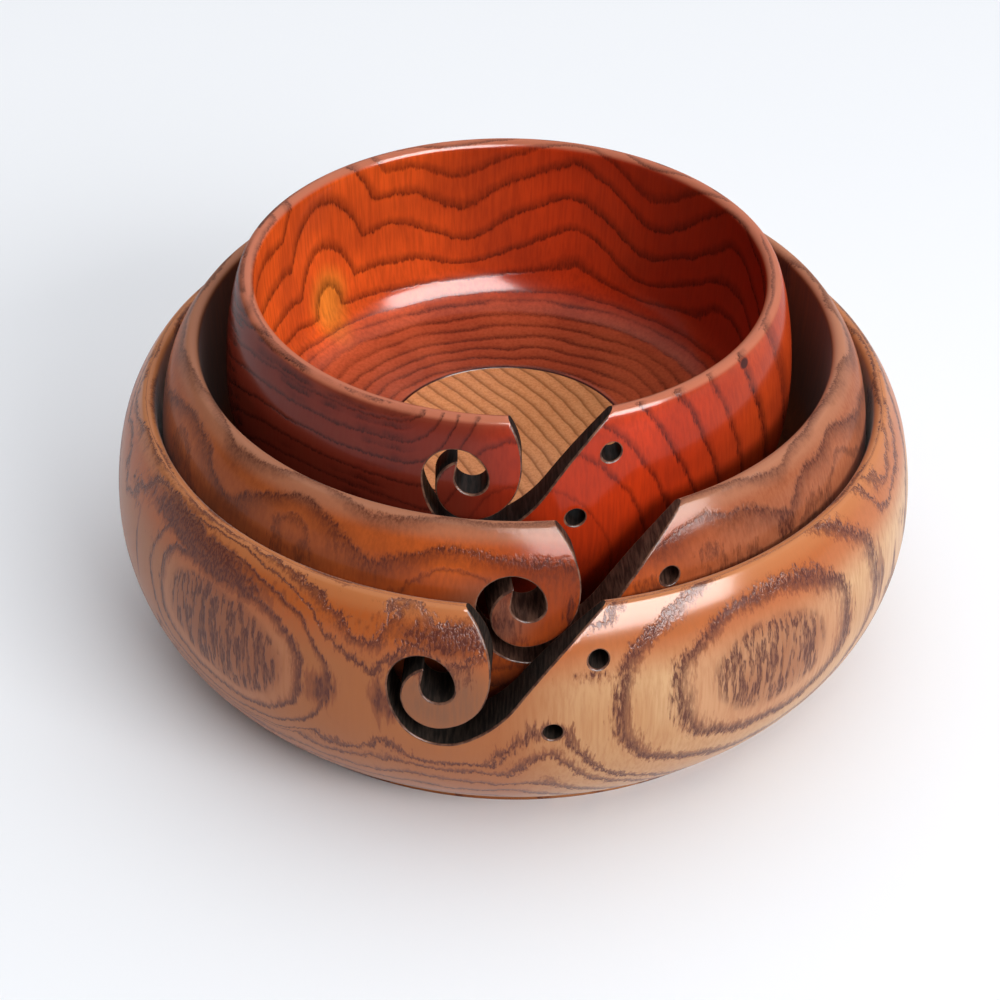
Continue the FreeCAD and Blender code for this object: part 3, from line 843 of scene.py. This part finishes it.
def small_wood(section):
    """Red stained wood with thin dark lines."""
    n = Nodes("small_bowl_wood")
    tones = SMALL_TONES
    place = bowl_coordinates(n, section)
    wavy = warped(n, place, 1.6, 0.05, 0.35, 0.35)
    x, _, height = split(n, place)
    coarse = fibres(n, place, 1.0, 0.15)
    fine = fibres(n, place, 0.45, 0.2)
    slow = slow_change(n, place, 0.05)
    outside = facing_out(n, place)
    inner_bands = small_inner_bands(n, section, place, wavy, coarse, fine)
    outer_bands = small_outer_bands(n, section, place, wavy, coarse, fine, slow)
    dark = broken_up(n, n.blend(outside, inner_bands, outer_bands), fine)
    # Painted light on the inner wall's left and painted shade on its right.
    inner = n.mix(n.between(x, -50.0, 20.0), tones["inside left painted light"], tones["inside middle"])
    inner = n.mix(n.between(x, 15.0, 62.0), inner, tones["inside right painted shade"])
    inner = n.mix(n.between(height, 24.0, 16.0), inner, tones["floor"])
    loop = hill(n, wavy, section, -128.0, 30.0, 6.0, 9.0)
    inner = n.mix(n.between(loop, 1.5, 0.5), inner, tones["loop"])
    # The outer wall's left is painted dark as shade.
    outer = n.mix(n.between(x, -12.0, 10.0), tones["outside left painted shade"], tones["outside middle"])
    outer = n.mix(n.between(x, 34.0, 62.0), outer, tones["outside right"])
    base = n.mix(outside, inner, outer)
    base = n.mix(n.between(slow, 0.35, 0.65, 0.0, 0.35), base, tones["slow"])
    # A dark glue line round the floor disc.
    disc_radius = section.size["disc_radius"]
    joint = n.between(axis_distance(n, place), disc_radius + 0.8, disc_radius + 0.3)
    base = n.mix(joint, base, tones["joint"])
    base = streaked(n, place, base, 0.8, 0.06, 0.3, tones["streak"])
    base = n.mix(rim_wear(n, section, place), base, tones["rim"])
    # One small pit under the rim, right of the slot.
    pit = n.between(hill(n, place, section, 55.0, 61.5, 1.9, 1.5), 1.1, 0.6)
    return grained(n, base, n.math("MAXIMUM", dark, pit), 0.92, tones["grain"])


# Darker and lighter tone of each bowl's cut faces.
CUT_TONES = {
    "large": (colour(34, 30, 28), colour(60, 50, 44)),
    "medium": (colour(56, 38, 32), colour(96, 68, 56)),
    "small": (colour(30, 26, 24), colour(54, 42, 38)),
}
# Tones of the eased edge where the finish is rubbed through, and where it is not.
WORN_TONE = colour(126, 88, 70)
UNWORN_TONE = colour(78, 52, 44)


def cut_face(name, section):
    """Saw and rasp marks across a cut face, in dark tones."""
    n = Nodes(f"{name}_cut_face")
    place = bowl_coordinates(n, section)
    marks = n.noise(n.mapped(place, scale=(1.0, 0.12, 1.0)), 1.2, 3.0, 0.6)
    base = n.mix(n.between(marks, 0.35, 0.7), *CUT_TONES[name])
    return lacquered(n, base, marks, 0.55, bump=RASP_BUMP, coat=WORN_COAT)


def worn_edge(name, section):
    """Eased edge of a cut, rubbed pale in places."""
    n = Nodes(f"{name}_worn_edge")
    place = bowl_coordinates(n, section)
    wear = n.noise(place, 0.5, 3.0, 0.6)
    base = n.mix(n.between(wear, 0.35, 0.65), UNWORN_TONE, WORN_TONE)
    return lacquered(n, base, wear, 0.45, coat=SATIN_COAT)


# Growth rings of the floor discs: the trunk's axis and the spacing, in millimetres, and how dark they
# are through one spacing.
DISC_AXIS = (-115.0, -70.0)
DISC_RING_SPACING = 4.0
DISC_RING = ((0.0, 1.0), (0.2, 0.3), (0.5, 0.0), (0.9, 0.1), (1.0, 1.0))


def disc_wood():
    """Paler plain wood of the floor discs, with its rings in gentle arcs."""
    n = Nodes("disc_wood")
    place = n.vector("MULTIPLY", n.add("TexCoord").outputs["Object"], (1 / MM,) * 3)
    wavy = warped(n, place, 1.5, 0.05, 0.3, 0.3)
    bands = even_lines(n, axis_distance(n, wavy, *DISC_AXIS), DISC_RING_SPACING, DISC_RING)
    pores = n.noise(place, 1.6, 2.0, 0.7)
    base = n.mix(n.between(pores, 0.35, 0.7), colour(222, 156, 104), colour(204, 134, 84))
    wood = n.mix(n.math("MULTIPLY", bands, 0.75), base, colour(116, 66, 36))
    return lacquered(n, wood, n.math("MULTIPLY", bands, -1.0), 0.4, coat=SATIN_COAT)


def floor_paint():
    """Matte white floor."""
    n = Nodes("floor_paint")
    inputs = {"Base Color": colour(238, 240, 243), "Roughness": 1.0, "Specular IOR Level": 0.0}
    return n.finish(n.add("BsdfPrincipled", inputs).outputs[0])


# ---------------------------------------------------------------- stage

# Half side of the floor in metres, wide enough to fill every view down to a low horizon.
FLOOR_HALF = 12.0

# Camera place and lens in millimetres, turned down and rolled in degrees.
CAMERA_PLACE = Vector((-3.28, -521.92, 416.86))
CAMERA_PITCH = 36.65
CAMERA_ROLL = 0.688
CAMERA_LENS = 90.68
CAMERA_SENSOR = 36.0
# Nearest distance that the camera sees, in metres.
CAMERA_NEAREST = 0.05

# The way to the brightest part of the room, and its strength there and on the dim side.
ROOM_BRIGHT_SIDE = (0.30, 0.30, 0.90)
ROOM_BRIGHT = 1.32
ROOM_DIM = 0.06
ROOM_TINT = (0.97, 0.98, 1.0, 1.0)

# Soft lights from the front right: azimuth and elevation in degrees, width and height in metres, and
# power in watts. The window lights the bowls and the floor, the panel only shines in the lacquer.
LIGHT_DISTANCE = 1.8
LIGHTS = {
    "window": (40.0, 30.0, 1.20, 0.54, 20.0),
    "panel": (34.0, 34.0, 1.80, 1.35, 285.0),
}


def make_camera():
    """Camera at the height, turn and slight roll of a hand-held view from the front."""
    pitch = math.radians(CAMERA_PITCH)
    roll = math.radians(CAMERA_ROLL)
    forward = Vector((0.0, math.cos(pitch), -math.sin(pitch)))
    level = Vector((1.0, 0.0, 0.0))
    up = Vector((0.0, math.sin(pitch), math.cos(pitch)))
    across = level * math.cos(roll) + up * math.sin(roll)
    over = up * math.cos(roll) - level * math.sin(roll)
    data = bpy.data.cameras.new("camera")
    data.sensor_width = CAMERA_SENSOR
    data.lens = CAMERA_LENS
    data.clip_start = CAMERA_NEAREST
    camera = add_object("camera", data)
    turn = Matrix((across, over, -forward)).transposed().to_4x4()
    camera.matrix_world = Matrix.Translation(CAMERA_PLACE * MM) @ turn
    bpy.context.scene.camera = camera


def make_light(name, centre):
    """Soft rectangular light that faces a point."""
    azimuth, elevation, width, height, power = LIGHTS[name]
    data = bpy.data.lights.new(name, "AREA")
    data.shape = "RECTANGLE"
    data.size = width
    data.size_y = height
    data.energy = power
    azimuth = math.radians(azimuth)
    elevation = math.radians(elevation)
    level = math.cos(elevation)
    away = Vector((math.sin(azimuth) * level, -math.cos(azimuth) * level, math.sin(elevation)))
    lamp = add_object(name, data)
    lamp.location = centre + away * LIGHT_DISTANCE
    lamp.rotation_euler = away.to_track_quat("Z", "Y").to_euler()
    return lamp


def soft_room():
    """White room, bright above the bowls and behind them on the right, dim low down and in front."""
    world = bpy.data.worlds.new("soft_room")
    world.use_nodes = True
    tree = world.node_tree
    background = tree.nodes["Background"]
    place = tree.nodes.new("ShaderNodeTexCoord")
    facing = tree.nodes.new("ShaderNodeVectorMath")
    facing.operation = "DOT_PRODUCT"
    facing.inputs[1].default_value = Vector(ROOM_BRIGHT_SIDE).normalized()
    level = tree.nodes.new("ShaderNodeMapRange")
    level.interpolation_type = "SMOOTHSTEP"
    tree.links.new(place.outputs["Generated"], facing.inputs[0])
    tree.links.new(facing.outputs["Value"], level.inputs["Value"])
    level.inputs["From Min"].default_value = 0.0
    level.inputs["From Max"].default_value = 1.0
    level.inputs["To Min"].default_value = ROOM_DIM
    level.inputs["To Max"].default_value = ROOM_BRIGHT
    tree.links.new(level.outputs[0], background.inputs[1])
    background.inputs[0].default_value = ROOM_TINT
    return world


def make_stage():
    half = FLOOR_HALF
    corners = [(-half, -half, 0), (half, -half, 0), (half, half, 0), (-half, half, 0)]
    data = bpy.data.meshes.new("floor")
    data.from_pydata(corners, [], [(0, 1, 2, 3)])
    data.materials.append(floor_paint())
    floor = add_object("floor", data)
    floor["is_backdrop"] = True
    bpy.context.scene.world = soft_room()
    bpy.context.scene.view_settings.view_transform = "Standard"


def main():
    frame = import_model()
    sections = {name: Section(name) for name in BOWLS}
    wood = {
        "large": large_wood(sections["large"]),
        "medium": medium_wood(sections["medium"]),
        "small": small_wood(sections["small"]),
    }
    for name, section in sections.items():
        make_shell(name, section, (wood[name], cut_face(name, section), worn_edge(name, section)))
    disc = disc_wood()
    for name in BOWLS:
        data = frame["nodes"][f"{name}_base_disc"].data
        data.materials.clear()
        data.materials.append(disc)
    make_stage()
    make_camera()
    centre = sum(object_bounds(), Vector()) / 2
    make_light("window", centre).visible_glossy = False
    make_light("panel", centre).visible_diffuse = False


main()
